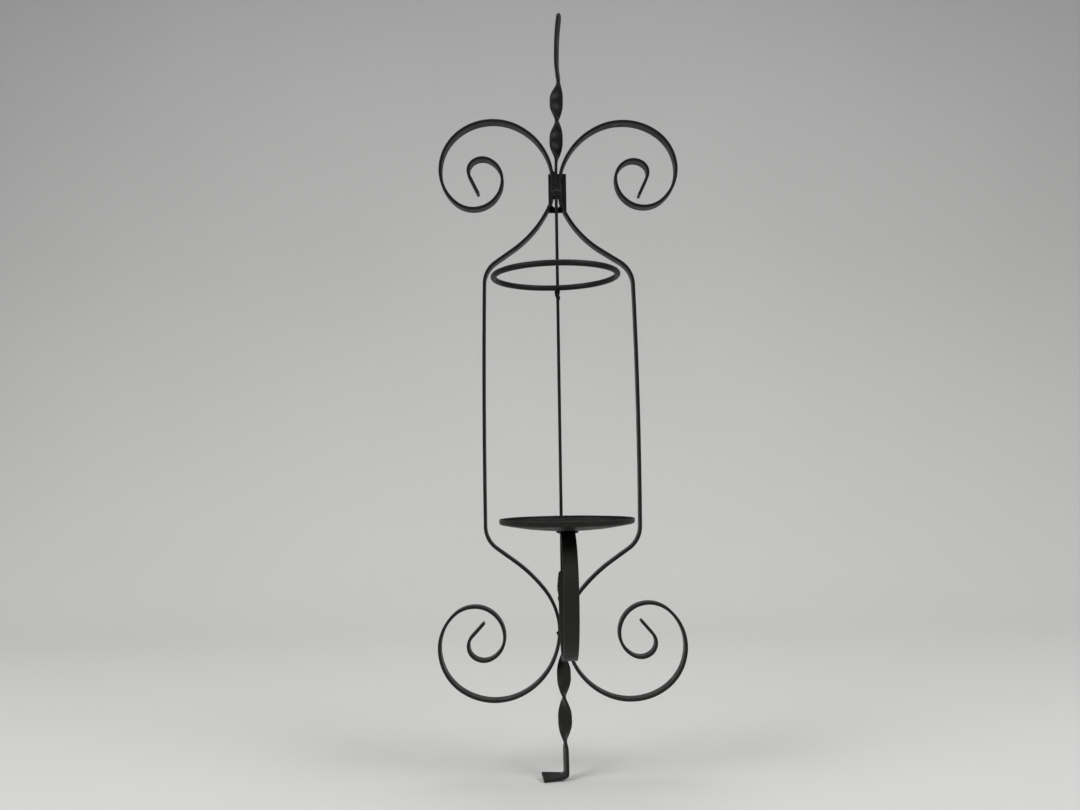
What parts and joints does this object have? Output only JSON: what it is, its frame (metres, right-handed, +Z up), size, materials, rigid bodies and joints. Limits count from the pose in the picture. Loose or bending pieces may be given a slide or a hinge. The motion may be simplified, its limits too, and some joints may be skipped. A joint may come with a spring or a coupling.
{
  "type": "wall sconce candle holder",
  "caption": "Scrolled flat-bar wall sconce in satin black, with a dished pan for a candle, a ring that steadies a glass chimney, a hanging plate and a small foot.",
  "frame": {"origin": "on the back face of the hanging plate, behind the stem's line, level with the weld at the upper neck", "axes": "+Z up, +Y into the wall, +X to the viewer's right"},
  "size_m": [0.2306, 0.1327, 0.7212],
  "materials": {
    "satin_black_paint": "satin",
    "painted_weld": "satin"
  },
  "bodies": {
    "root": {"back_stem": "satin_black_paint", "left_scroll_strip": "satin_black_paint", "right_scroll_strip": "satin_black_paint", "hanging_plate": "satin_black_paint", "chimney_ring": "satin_black_paint", "drip_pan": "satin_black_paint", "support_hoop": "satin_black_paint", "upper_neck_weld": "painted_weld", "lower_neck_weld": "painted_weld", "ring_weld": "painted_weld", "pan_weld": "painted_weld", "hoop_weld": "painted_weld", "hoop_pan_weld_left": "painted_weld", "hoop_pan_weld_right": "painted_weld", "plate_weld_left": "painted_weld", "plate_weld_right": "painted_weld"}
  },
  "joints": []
}
